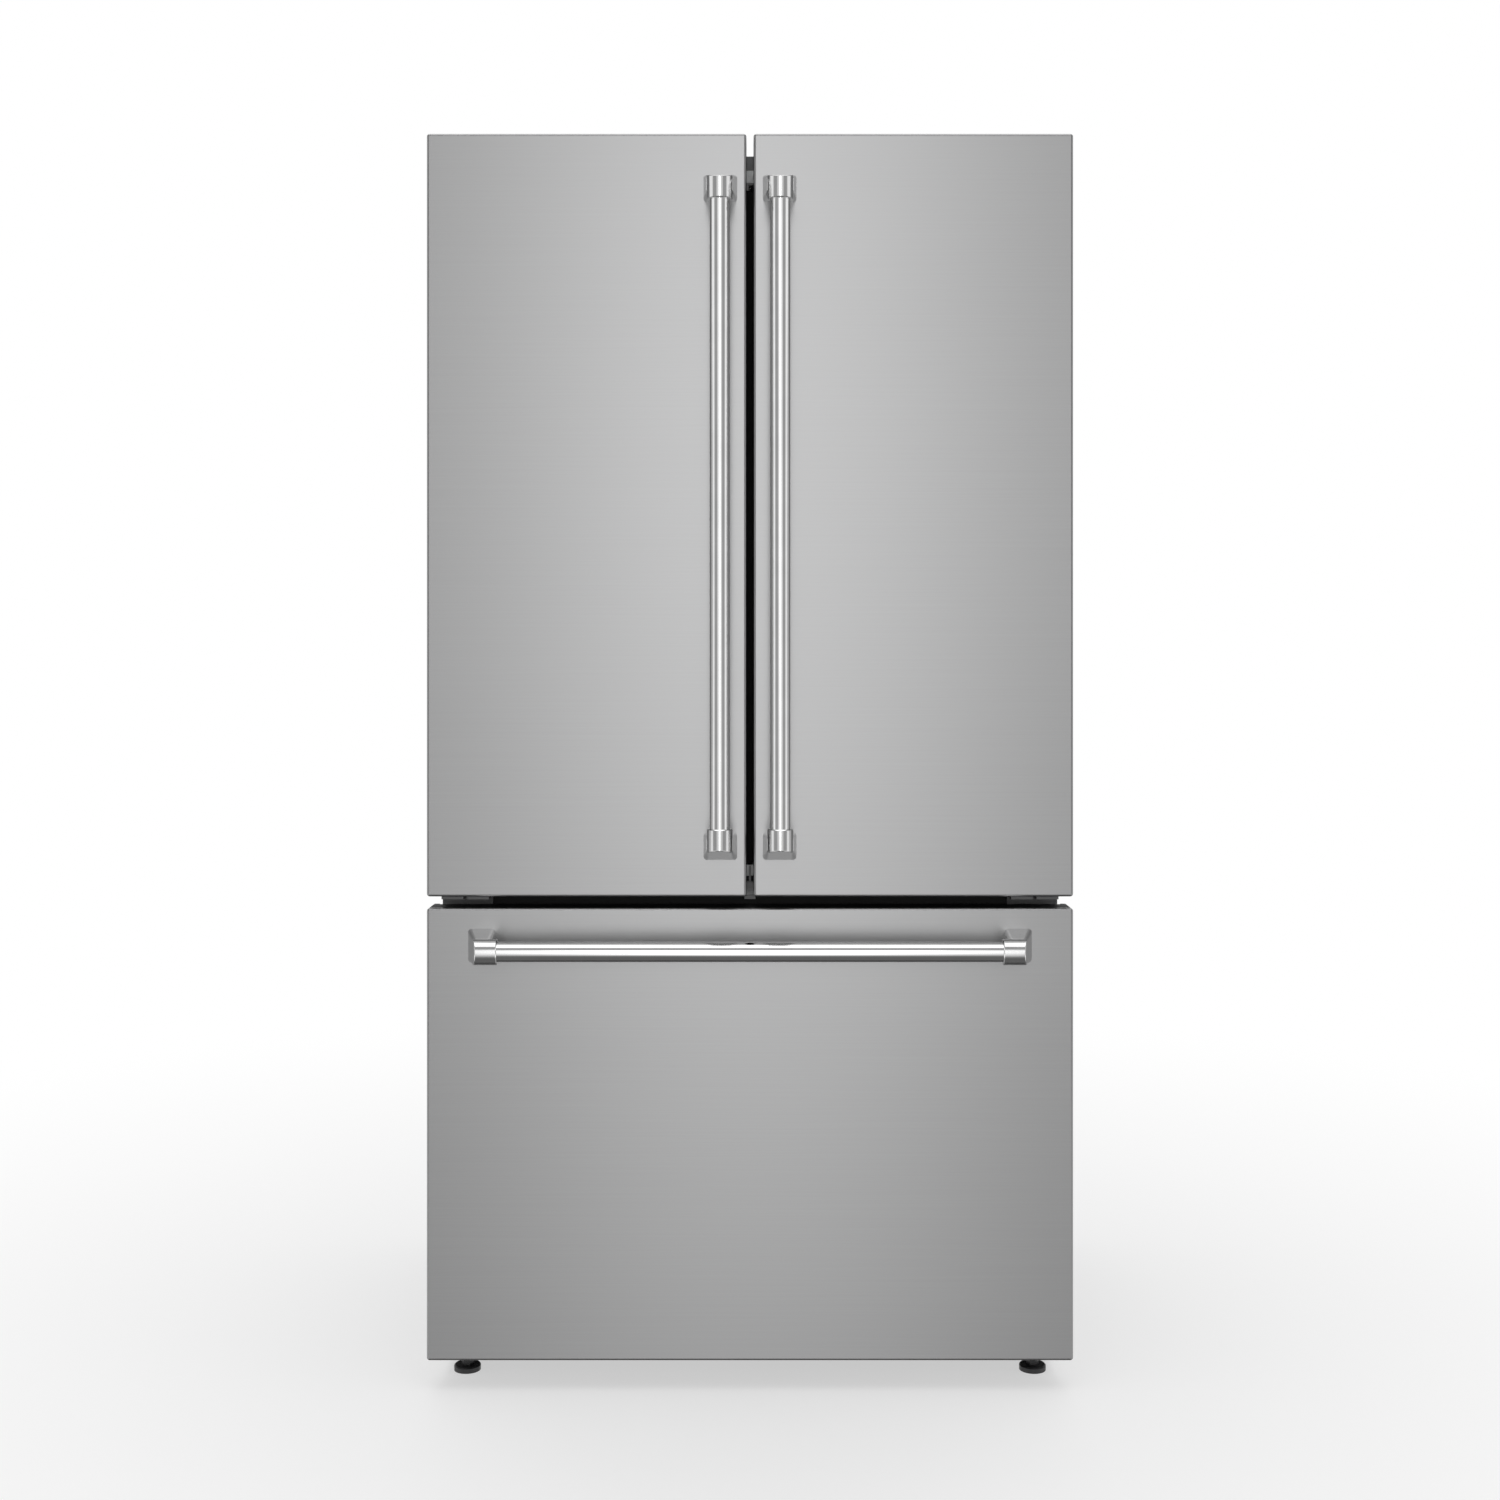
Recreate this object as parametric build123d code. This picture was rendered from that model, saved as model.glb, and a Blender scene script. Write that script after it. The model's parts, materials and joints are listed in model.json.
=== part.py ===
from build123d import *
import os

# French door refrigerator, bottom freezer drawer. Millimetres, +Z up, -Y is the front.
# Origin: on the floor, under the middle of the whole appliance.

# Outer sizes
door_span = 908            # over both doors
door_gap = 10              # between the two doors
door_thickness = 52
door_height = 1071.5
drawer_height = 635
drawer_bottom = 43         # above the floor
front_gap = 16.5           # between the drawer front and the doors
gasket_gap = 13            # between the doors' backs and the case
handle_reach = 75
case_depth = 620
case_inset = 12            # the case is narrower than the doors by this much each side
case_top = 1751
case_bottom = 22
wall = 48                  # insulated side wall
roof = 38                  # insulated roof
rear_wall = 55             # insulated rear wall
sheet = 1.2                # steel sheet
case_round = 6             # bend between the roof and each side
liner_sheet = 2            # vacuum-formed liner
slip = 0.2                 # between pieces that lie on each other
clear = 0.3                # between pieces that move past each other

# Planes from front to back
depth = handle_reach + door_thickness + gasket_gap + case_depth
handle_front = -depth / 2
door_front = handle_front + handle_reach
door_back = door_front + door_thickness
case_front = door_back + gasket_gap
case_back = depth / 2
case_side = door_span / 2 - case_inset
liner_side = case_side - wall
liner_back = case_back - rear_wall

# Heights
drawer_top = drawer_bottom + drawer_height
door_bottom = drawer_top + front_gap
door_top = door_bottom + door_height
fridge_floor = 732
fridge_ceiling = case_top - roof
freezer_floor = 112
freezer_ceiling = 644
machine_top = 298          # roof of the compressor space
machine_front = 150        # its front wall
hump_top = 350             # step in the freezer's floor over the compressor space
hump_front = 110
floor_pan = 58

# Door and drawer fronts
skin = 1
edge_round = 5
corner_round = 4
cap_depth = 22
lip = 8                    # the skin's fold over each end
return_flange = 10
dyke_width = 22
dyke_inset = 24            # the dyke's edge behind the door's hinged edge, less the case inset
pod_back = -200
centre_dyke = 50           # from the middle of the appliance to each door's dyke
gasket_width = 16
gasket_hinge_inset = 26
gasket_free_inset = 1.5

# Hinges
hinge_inset = 22
hinge_x = door_span / 2 - hinge_inset
hinge_y = door_front + 26
pin_radius = 5
running = 0.05
pin_length = 20

# Handles
tube_radius = 13.75
sleeve_radius = 17.75
sleeve_length = 34
foot_long = 38             # bracket foot along the handle
foot_wide = 47.2           # and across it
neck_long = 25
neck_wide = 35.7
foot_slope = 15            # the outer face leans in by this much over its height
handle_y = handle_front + sleeve_radius
door_handle_x = 41.6
door_handle_low = door_bottom + 51.8
door_handle_high = door_top - 58.5
drawer_handle_half = 395.5
drawer_handle_z = 626

# Mullion, the hinged bar on the left door
mullion_left = -26
mullion_right = 15
mullion_thickness = 18
mullion_low = fridge_floor + 3
mullion_high = 1700
mullion_pin_x = 4
mullion_axis_x = -31
mullion_axis_y = case_front + mullion_thickness / 2
mullion_hinge_heights = (900, 1540)

# Interior
shelf_front = -120
crisper_front = -100
track_x = (12.5, 372)       # shelf tracks, each side of the middle
duct_front = 304
slide_low = 372
slide_high = 416
slide_length = 450
foot_x = 409
foot_y = case_front + 18
foot_radius = 19.25
roller_radius = 18
roller_x = case_side - 19
roller_y = 330


def block(x0, x1, y0, y1, z0, z1):
    centre = Pos((x0 + x1) / 2, (y0 + y1) / 2, (z0 + z1) / 2)
    return centre * Box(abs(x1 - x0), abs(y1 - y0), abs(z1 - z0))


def rod(radius, x, y, z0, z1):
    return Pos(x, y, (z0 + z1) / 2) * Cylinder(radius, z1 - z0)


def rod_along_x(radius, x0, x1, y, z):
    return Pos((x0 + x1) / 2, y, z) * Rot(0, 90, 0) * Cylinder(radius, x1 - x0)


def round_edges(shape, axis, radius):
    return fillet(shape.edges().filter_by(axis), radius)


def group(*shapes):
    return Compound([solid for shape in shapes for solid in shape.solids()])


def mirrored(shape):
    return mirror(shape, about=Plane.YZ)


def both_sides(shape):
    return group(shape, mirrored(shape))


def ring(x0, x1, y0, y1, z0, z1, band):
    """A flat picture frame that stands in the XZ plane."""
    outside = block(x0, x1, y0, y1, z0, z1)
    return outside - block(x0 + band, x1 - band, y0 - 1, y1 + 1, z0 + band, z1 - band)


def tray(x0, x1, y0, y1, z0, z1, thickness, corner):
    """An open-topped box with rounded upright corners."""
    outside = round_edges(block(x0, x1, y0, y1, z0, z1), Axis.Z, corner)
    inside = block(x0 + thickness, x1 - thickness, y0 + thickness, y1 - thickness, z0 + thickness, z1 + 1)
    return outside - round_edges(inside, Axis.Z, corner - thickness)


# Cabinet

def round_upper_edges(shape, radius):
    """Round the top edges that run from front to back."""
    return fillet(shape.edges().filter_by(Axis.Y).group_by(Axis.Z)[-1], radius)


def case_wrapper():
    back = case_back - 2
    outside = block(-case_side, case_side, case_front, back, case_bottom, case_top)
    outside = round_upper_edges(outside, case_round)
    inner = case_side - sheet
    inside = block(-inner, inner, case_front + sheet, back + 1, case_bottom - 1, case_top - sheet)
    inside = round_upper_edges(inside, case_round - sheet)
    mouth = case_side - 20
    opening = block(-mouth, mouth, case_front - 1, case_front + 2, case_bottom - 1, case_top - 20)
    return outside - inside - opening


def back_panel():
    back = case_back - 2 + slip
    panel = block(-case_side + 2, case_side - 2, back, back + 0.9, machine_top + 2, case_top - 2)
    for x in (-280, 0, 280):
        panel += block(x - 8, x + 8, back, case_back, machine_top + 60, case_top - 60)
    return panel


def base_frame():
    """Pan, two side rails, the front member and the bent wall around the compressor space."""
    inner = liner_side - liner_sheet
    pan = block(-case_side + 2, case_side - 2, case_front + 4, machine_front, floor_pan, floor_pan + 2)
    frame = pan + block(-inner, inner, machine_front - 2, machine_front, floor_pan, machine_top)
    frame += block(-inner, inner, machine_front - 2, case_back - 4, machine_top - 2, machine_top)
    for side in (-1, 1):
        outer = side * (case_side - 2)
        rail_inner = side * (case_side - 36)
        low, high = sorted((outer, rail_inner))
        rail = block(low, high, case_front + 4, case_back - 4, 30, floor_pan)
        frame += rail - block(low + 2, high - 2, case_front + 6, case_back - 6, 29, floor_pan - 2)
    frame += block(-inner, inner, machine_front - 2, case_back - 4, 40, 42)
    frame += block(-inner, inner, machine_front - 2, machine_front, 40, floor_pan)
    for side in (-1, 1):
        boss = block(side * foot_x - 11, side * foot_x + 11, foot_y - 11, foot_y + 11, 34, floor_pan)
        frame += boss
        frame -= rod(6 + running, side * foot_x, foot_y, 28, floor_pan + 3)
    return frame


def fridge_liner():
    outer = liner_side + liner_sheet
    top = fridge_ceiling + liner_sheet
    tub = block(-outer, outer, case_front, liner_back + liner_sheet, fridge_floor - liner_sheet, top)
    flange_side = case_side - 20 - 0.5
    tub += block(-flange_side, flange_side, case_front, case_front + 2, 716.5, case_top - 20.5)
    hollow = block(-liner_side, liner_side, case_front - 30, liner_back, fridge_floor, fridge_ceiling)
    hollow = round_edges(hollow, Axis.Y, 16)
    rear = hollow.faces().sort_by(Axis.Y)[-1]
    hollow = fillet(rear.edges(), 14)
    tub -= hollow
    for z in (858, 1036):
        for side in (-1, 1):
            low, high = sorted((side * (liner_side - 9), side * (liner_side + 1)))
            tub += block(low, high, -95, 285, z, z + 8)
    return tub


def freezer_liner():
    outer = liner_side + liner_sheet
    top = freezer_ceiling + liner_sheet
    tub = block(-outer, outer, case_front, hump_front + liner_sheet, freezer_floor - liner_sheet, top)
    tub += block(-outer, outer, case_front, liner_back + liner_sheet, hump_top - liner_sheet, top)
    flange_side = case_side - 20 - 0.5
    tub += block(-flange_side, flange_side, case_front, case_front + 2, 80, 659.5)
    mouth = block(-liner_side, liner_side, case_front - 30, hump_front, freezer_floor, freezer_ceiling)
    attic = block(-liner_side, liner_side, case_front - 30, liner_back, hump_top, freezer_ceiling)
    hollow = round_edges(mouth + attic, Axis.Y, 12)
    tub -= hollow
    for side in (-1, 1):
        low, high = sorted((side * (liner_side - 12), side * (liner_side + 1)))
        tub += block(low, high, -215, 250, 421, 429)
    return tub


def foam_insulation():
    side = block(liner_side + liner_sheet + slip, case_side - sheet - slip, case_front + 4,
                 case_back - 3, floor_pan + 2 + slip, case_top - sheet - slip)
    outer_edge = side.edges().filter_by(Axis.Y).group_by(Axis.Z)[-1].sort_by(Axis.X)[-1]
    side = fillet(outer_edge, case_round - sheet)
    inner = liner_side + liner_sheet
    rear = block(-inner, inner, liner_back + liner_sheet + slip, case_back - 3, machine_top + slip,
                 case_top - sheet - slip)
    top = block(-inner, inner, case_front + 4, liner_back + liner_sheet, fridge_ceiling + liner_sheet + slip,
                case_top - sheet - slip)
    middle = block(-inner, inner, case_front + 22, liner_back + liner_sheet,
                   freezer_ceiling + liner_sheet + slip, fridge_floor - liner_sheet - slip)
    under = block(-inner, inner, case_front + 4, hump_front + liner_sheet, floor_pan + 2 + slip,
                  freezer_floor - liner_sheet - slip)
    riser = block(-inner, inner, hump_front + liner_sheet + slip, machine_front - 2 - slip,
                  floor_pan + 2 + slip, hump_top - liner_sheet - slip)
    step = block(-inner, inner, machine_front - 2, liner_back + liner_sheet, machine_top + slip,
                 hump_top - liner_sheet - slip)
    return group(side, mirrored(side), rear, top, middle, under, riser, step)


def centre_rail():
    """Steel channel across the front between the two openings."""
    half = case_side - 20 - 0.5
    inner = liner_side + liner_sheet
    rail = block(-inner, inner, case_front + 1, case_front + 20, 660, 716)
    rail -= block(-inner - 1, inner + 1, case_front + 2, case_front + 21, 662, 714)
    return rail + block(-half, half, case_front, case_front + 2, 660, 716)


def top_hinges():
    """Cranked brackets on the roof, each with a pin that reaches down into the door."""
    plate = block(-hinge_x - 6, -hinge_x + 70, case_front + 8, case_front + 92, case_top + slip, case_top + 3)
    riser = block(-hinge_x - 6, -hinge_x + 40, case_front + 8, case_front + 11, case_top + slip, door_top + 3.4)
    arm = block(-hinge_x - 10, -hinge_x + 10, hinge_y, case_front - 4, door_top + 0.4, door_top + 3.4)
    arm += block(-hinge_x - 6, -hinge_x + 40, case_front - 4, case_front + 11, door_top + 0.4, door_top + 3.4)
    arm += rod(10, -hinge_x, hinge_y, door_top + 0.4, door_top + 3.4)
    pin = rod(pin_radius, -hinge_x, hinge_y, door_top - pin_length, door_top + 3.4)
    left = plate + riser + arm + pin
    return both_sides(left)


def hinge_covers():
    top = case_top + 24
    shell = block(-case_side + 2, -hinge_x + 84, case_front + 1, case_front + 102, case_top + slip, top)
    shell = round_edges(shell, Axis.Z, 8)
    shell = fillet(shell.faces().sort_by(Axis.Z)[-1].edges(), 4)
    hollow = block(-case_side + 4, -hinge_x + 82, case_front - 1, case_front + 100, case_top - 1, door_top + 4)
    left = shell - hollow
    return both_sides(left)


def centre_hinges():
    """Plates on the centre rail; each carries the upright pin under its door."""
    high = door_bottom - 2
    low = high - 4
    arm = block(-hinge_x - 4, -hinge_x + 63, hinge_y - 8, case_front - slip, low, high)
    arm -= block(-hinge_x + 27, -hinge_x + 32.6, hinge_y - 9, hinge_y + 14, low - 1, high + 1)
    back = block(-hinge_x - 4, -hinge_x + 63, case_front - 3, case_front - slip, 668, 704)
    washer = rod(9, -hinge_x, hinge_y, high, door_bottom - clear)
    pin = rod(pin_radius, -hinge_x, hinge_y, high, door_bottom + pin_length)
    return both_sides(arm + back + washer + pin)


def mullion_guide():
    """Slotted guide in the fridge ceiling, and the ribbed stop with its fin on the centre rail."""
    guide = block(-30, 30, case_front + 1, case_front + 42, mullion_high + 2, fridge_ceiling - slip)
    slot = block(mullion_pin_x - 6, mullion_pin_x + 6, case_front, case_front + 18, mullion_high + 1,
                 mullion_high + 10)
    slot += rod(6, mullion_pin_x, case_front + 18, mullion_high + 1, mullion_high + 10)
    stop = block(-8, 8, case_front - 9, case_front - slip, 684, 704)
    stop += block(-5, 5, case_front - 9, case_front - slip, 703, 709)
    for z in (689, 695, 701):
        stop -= block(-21, 21, case_front - 10, case_front - 7, z, z + 2)
    stop += block(-1.5, 1.5, case_front - 7, case_front - slip, 708, 731)
    return group(guide - slot, stop)


def base_grille():
    half = case_side - 22
    panel = block(-half, half, case_front, case_front + 3, 20, floor_pan - 1)
    for step in range(-15, 16):
        x = step * 25
        panel -= block(x - 8, x + 8, case_front - 1, case_front + 4, 28, 34)
        panel -= block(x - 8, x + 8, case_front - 1, case_front + 4, 42, 48)
    return panel


def front_foot(side):
    disc = rod(foot_radius, side * foot_x, foot_y, 0, 8)
    disc = chamfer(disc.faces().sort_by(Axis.Z)[-1].edges(), 1.5)
    hexagon = extrude(Pos(side * foot_x, foot_y, 8) * RegularPolygon(9, 6), 7)
    return disc + hexagon + rod(6, side * foot_x, foot_y, 8, 54)


def roller_brackets():
    """Forks inside the base rails, each with its axle."""
    top = floor_pan - 2 - slip
    fork = block(-roller_x - 13, -roller_x + 13, roller_y - 16, roller_y + 16, 9, top)
    fork -= block(-roller_x - 11, -roller_x + 11, roller_y - 17, roller_y + 17, 8, top - 2)
    axle = rod_along_x(4, -roller_x - 12, -roller_x + 12, roller_y, roller_radius)
    return both_sides(fork + axle)


def rear_roller(side):
    wheel = rod_along_x(roller_radius, side * roller_x - 10, side * roller_x + 10, roller_y, roller_radius)
    wheel = chamfer(wheel.edges().filter_by(GeomType.CIRCLE), 1.5)
    return wheel - rod_along_x(4 + running, side * roller_x - 11, side * roller_x + 11, roller_y, roller_radius)


# Cooling

def compressor():
    x, y = 220, 262
    shell = rod(78, x, y, 62, 232)
    shell = fillet(shell.edges().filter_by(GeomType.CIRCLE), 34)
    shell += block(x - 100, x + 100, y - 60, y + 60, 56, 60) + rod(50, x, y, 58, 80)
    for dx in (-85, 85):
        for dy in (-45, 45):
            shell += rod(11, x + dx, y + dy, 42.2, 57)
    shell += block(x - 122, x - 70, y - 24, y + 24, 110, 160)
    return shell


def condenser():
    """Finned tube bundle with the fan's housing and motor on its inner end."""
    bundle = block(-330, -328, 190, 340, 46, 246) + block(-142, -140, 190, 340, 46, 246)
    for y in range(205, 340, 24):
        for z in range(60, 240, 24):
            bundle += rod_along_x(4, -329, -141, y, z)
    for x in range(-318, -145, 12):
        bundle += block(x, x + 1, 192, 338, 48, 244)
    housing = block(-140, -100, 185, 345, 42.2, 250)
    housing -= block(-139, -101, 189, 341, 46, 246)
    housing -= rod_along_x(74, -141, -99, 265, 146)
    arms = block(-82, -78, 185, 345, 140, 152) + rod_along_x(20, -82, -40, 265, 146)
    arms += block(-102, -78, 185, 189, 140, 152) + block(-102, -78, 341, 345, 140, 152)
    arms += rod_along_x(3, -112, -60, 265, 146)
    return bundle + housing + arms


def condenser_fan():
    hub = rod_along_x(20, -120, -92, 265, 146)
    blade = Pos(0, 0, 44) * Rot(0, 0, 32) * Box(3, 34, 52)
    fan = hub
    for turn in range(5):
        fan += Pos(-106, 265, 146) * Rot(72 * turn, 0, 0) * blade
    return fan - rod_along_x(3 + running, -121, -91, 265, 146)


def machine_cover():
    cover = block(-case_side + 3, case_side - 3, case_back - 1.8, case_back, case_bottom + 2, machine_top)
    for column in range(-7, 8):
        for row in range(5):
            x = column * 52
            z = 80 + row * 40
            cover -= block(x - 18, x + 18, case_back - 3, case_back + 1, z, z + 7)
    return cover


def evaporator():
    coil = block(-252, -250, 272, 320, 366, 560) + block(250, 252, 272, 320, 366, 560)
    for y in (284, 308):
        for z in range(380, 560, 30):
            coil += rod_along_x(4, -251, 251, y, z)
    for x in range(-240, 250, 16):
        coil += block(x, x + 1, 274, 318, 368, 558)
    return coil


def evaporator_cover():
    half = liner_side - 2
    panel = round_edges(block(-half, half, 262, 265, hump_top + 1, freezer_ceiling - 2), Axis.Y, 14)
    panel = panel + block(-170, 170, 254, 262, 470, 620)
    for column in range(-4, 5):
        for z in (490, 520, 550, 580):
            x = column * 34
            panel -= block(x - 11, x + 11, 250, 266, z, z + 8)
    return panel


def air_duct():
    duct = block(-105, 105, duct_front, liner_back - slip, 1090, 1660)
    duct = round_edges(duct, Axis.Y, 10)
    front = duct.faces().sort_by(Axis.Y)[0]
    duct = fillet(front.edges(), 4)
    duct -= block(-98, 98, duct_front + 4, liner_back + 1, 1097, 1653)
    for z in (1160, 1300, 1440, 1580):
        for x in (-70, 70):
            duct -= block(x - 20, x + 20, duct_front - 2, duct_front + 5, z, z + 6)
            duct -= block(x - 20, x + 20, duct_front - 2, duct_front + 5, z + 12, z + 18)
    return duct


# Fridge interior

def ceiling_light():
    lens = block(-150, 150, -60, 40, fridge_ceiling - 9, fridge_ceiling - slip)
    lens = round_edges(lens, Axis.Z, 14)
    return fillet(lens.faces().sort_by(Axis.Z)[0].edges(), 4)


def control_panel():
    panel = block(-140, 140, -190, -120, fridge_ceiling - 18, fridge_ceiling - slip)
    panel = round_edges(panel, Axis.Z, 8)
    panel = fillet(panel.faces().sort_by(Axis.Z)[0].edges(), 3)
    for x in range(-96, 97, 48):
        panel -= Pos(x, -155, fridge_ceiling - 18) * Cylinder(9, 1.6)
    return panel


shelf_levels = {-1: (1260, 1490), 1: (1190, 1430)}


def track_back(x):
    """The middle tracks stand on the air duct, the outer ones on the liner."""
    return (duct_front if abs(x) < 100 else liner_back) - slip


def shelf_tracks():
    strips = []
    for x in (-track_x[1], -track_x[0], track_x[0], track_x[1]):
        back = track_back(x)
        strip = block(x - 4, x + 4, back - 6, back, 1110, 1640)
        for z in range(1125, 1625, 30):
            strip -= block(x - 1.5, x + 1.5, back - 7, back - 3, z, z + 16)
        strips.append(strip)
    return group(*strips)


def shelf_frame(side, z):
    inner, outer = (8, 380) if side > 0 else (-380, -8)
    back = duct_front - 12
    rim = block(inner, outer, shelf_front, back, z, z + 12)
    rim -= block(inner + 9, outer - 9, shelf_front + 14, back - 9, z - 1, z + 13)
    ledge = block(inner + 4, outer - 4, shelf_front + 4, back - 4, z, z + 4)
    ledge -= block(inner + 14, outer - 14, shelf_front + 20, back - 14, z - 1, z + 5)
    rim += ledge
    rim += block(inner, outer, shelf_front - 4, shelf_front + 1, z - 6, z + 13)
    for x in (side * track_x[0], side * track_x[1]):
        tip = track_back(x) - 6 - slip
        outline = [(40, z + 1), (tip, z + 1), (tip, z - 34), (tip - 30, z - 34)]
        rim += extrude(Plane.YZ.offset(x - 1.5) * Polygon(*outline, align=None), 3)
    return rim


def shelf_glass_pane(side, z):
    inner, outer = (8, 380) if side > 0 else (-380, -8)
    return block(inner + 9.3, outer - 9.3, shelf_front + 14.3, duct_front - 21.3, z + 4 + slip, z + 9)


def shelf_frames():
    return group(*[shelf_frame(side, z) for side in (-1, 1) for z in shelf_levels[side]])


def cover_frame(z):
    """Full-width frame over a row of drawers; it lies on the liner's ledges."""
    half = liner_side - 3
    frame = block(-half, half, crisper_front - 6, 290, z, z + 14)
    for low, high in ((-half + 12, -8), (8, half - 12)):
        frame -= block(low, high, crisper_front + 12, 278, z + 4, z + 15)
        frame -= block(low + 8, high - 8, crisper_front + 20, 270, z - 1, z + 5)
    return frame


def drawer_covers():
    upper = cover_frame(1044 + slip)
    lower = cover_frame(866 + slip) - block(-400, 400, -120, 300, 876, 900)
    upper += block(-4, 4, crisper_front - 2, 280, 1032, 1046)
    return group(upper, lower)


def shelf_glass():
    panes = [shelf_glass_pane(side, z) for side in (-1, 1) for z in shelf_levels[side]]
    half = liner_side - 3
    for low, high in ((-half + 12.3, -8.3), (8.3, half - 12.3)):
        panes.append(block(low, high, crisper_front + 12.3, 277.7, 1048 + 2 * slip, 1053))
    return group(*panes)


def drawer_tray(x0, x1, y1, z0, z1):
    """Clear drawer with a thick pull rim along its front."""
    bin_shape = tray(x0, x1, crisper_front, y1, z0, z1, 3, 12)
    front = block(x0 + 2, x1 - 2, crisper_front - 10, crisper_front + 1, z1 - 34, z1)
    front -= block(x0 + 30, x1 - 30, crisper_front - 7, crisper_front - 1, z1 - 35, z1 - 6)
    return bin_shape + front


def crisper(side):
    x0, x1 = (8, 376) if side > 0 else (-376, -8)
    return drawer_tray(x0, x1, 278, 880, 1031)


def pantry_drawer():
    return drawer_tray(-376, 376, 270, fridge_floor + 8, 857)


# Door and drawer fronts

def front_shell(x0, x1, z0, z1, inset):
    """Full face with rounded front edges and corners, drawn in by inset on every side."""
    shell = block(x0 + inset, x1 - inset, door_front + inset, door_back - inset, z0 + inset, z1 - inset)
    shell = round_edges(shell, Axis.Y, corner_round - inset)
    return fillet(shell.faces().sort_by(Axis.Y)[0].edges(), edge_round - 1.5 - inset)


def front_skin(x0, x1, z0, z1):
    """Folded steel face: rounded edges, a lip over each end, returns behind both sides."""
    shell = front_shell(x0, x1, z0, z1, 0)
    hollow = front_shell(x0, x1, z0, z1, skin)
    hollow += block(x0 + skin, x1 - skin, door_front + lip, door_back - skin, z0 - 1, z1 + 1)
    rear = block(x0 + return_flange, x1 - return_flange, door_back - 2, door_back + 1, z0 - 1, z1 + 1)
    return shell - hollow - rear


def end_cap(x0, x1, z_outer, z_inner, pin_x=None):
    """Moulded cap that closes one end of a folded skin."""
    low, high = sorted((z_outer, z_inner))
    upwards = z_outer > z_inner
    cap = block(x0 + skin + slip, x1 - skin - slip, door_front + lip + slip, door_back - skin - slip, low, high)
    corners = cap.edges().filter_by(Axis.Y).group_by(Axis.Z)[-1 if upwards else 0]
    cap = fillet(corners, corner_round)
    pocket = block(x0 + 5, x1 - 5, door_front + lip + 4, door_back - 5, low, high)
    cap -= Pos(0, 0, -3 if upwards else 3) * pocket
    if pin_x is not None:
        cap += rod(11, pin_x, hinge_y, low, high)
        cap -= rod(pin_radius + running, pin_x, hinge_y, low - 1, high + 1)
    return cap


def end_caps(x0, x1, z0, z1, pin_x=None):
    top = end_cap(x0, x1, z1 - 0.6, z1 - cap_depth, pin_x)
    bottom = end_cap(x0, x1, z0 + 0.6, z0 + cap_depth, pin_x)
    return group(top, bottom)


def foam_core(x0, x1, z0, z1):
    front = door_front + skin + slip
    core = block(x0 + skin + slip, x1 - skin - slip, front, door_back - skin - slip,
                 z0 + cap_depth + slip, z1 - cap_depth - slip)
    core = fillet(core.edges().filter_by(Axis.Z).group_by(Axis.Y)[0], edge_round)
    plate = block(x0 + 2, x1 - 2, door_back + slip, door_back + 2, z0 + 2, z1 - 2)
    bridge = block(x0 + return_flange + 1, x1 - return_flange - 1, door_back - 8, door_back + 1,
                   z0 + cap_depth + slip, z1 - cap_depth - slip)
    return core + bridge + round_edges(plate, Axis.Y, 6)


def dyke(x0, x1, z0, z1, back):
    """Raised wall round the inside of a door, with a shallow hollow between."""
    pod = block(x0, x1, door_back + 1, back, z0, z1)
    pod = round_edges(pod, Axis.Y, 14)
    pod = fillet(pod.faces().sort_by(Axis.Y)[-1].edges(), 8)
    hollow = block(x0 + dyke_width, x1 - dyke_width, door_back + 6, back + 5, z0 + dyke_width, z1 - dyke_width)
    return pod - round_edges(hollow, Axis.Y, 10)


bin_levels = ((788, 90), (1110, 110), (1410, 110))


def door_liner_left():
    x0, x1 = -door_span / 2, -door_gap / 2
    liner = foam_core(x0, x1, door_bottom, door_top)
    pod_x0 = x0 + case_inset + wall + 14
    liner += dyke(pod_x0, -centre_dyke, fridge_floor + 20, fridge_ceiling - 20, pod_back)
    for level, height in bin_levels:
        for x in (pod_x0 + dyke_width, -centre_dyke - dyke_width):
            liner += block(x - 2.5, x + 2.5, door_back + 12, pod_back - 14, level + height - 30, level + height - 20)
    return liner


def mullion_lugs():
    """Two lugs with upright pins on the left door's dyke."""
    lugs = None
    for z in mullion_hinge_heights:
        lug = block(-centre_dyke - 4, mullion_axis_x, mullion_axis_y - 5, mullion_axis_y + 5, z - 14, z)
        lug += rod(5, mullion_axis_x, mullion_axis_y, z - 14, z)
        lug += rod(3, mullion_axis_x, mullion_axis_y, z - 1, z + 22)
        lugs = lug if lugs is None else lugs + lug
    return lugs


def door_gasket_left():
    x0 = -door_span / 2 + gasket_hinge_inset
    x1 = -door_gap / 2 - gasket_free_inset
    low, high = fridge_floor - 26, fridge_ceiling + 16
    band = ring(x0, x1, door_back + 2 + slip, case_front - clear, low, high, gasket_width)
    groove = ring(x0 + 6, x1 - 6, door_back + 5, door_back + 8, low + 6, high - 6, gasket_width - 12)
    return band - groove


def door_bins_left():
    x0 = -door_span / 2 + case_inset + wall + 14 + dyke_width + 3
    x1 = -centre_dyke - dyke_width - 3
    bins = []
    for level, height in bin_levels:
        back = -176 if level < 900 else -142
        one = tray(x0, x1, door_back + 7, back, level, level + height, 3, 14)
        one = one + block(x0 + 14, x1 - 14, back - 1, back + 3, level + height - 16, level + height)
        bins.append(one)
    return group(*bins)


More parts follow.
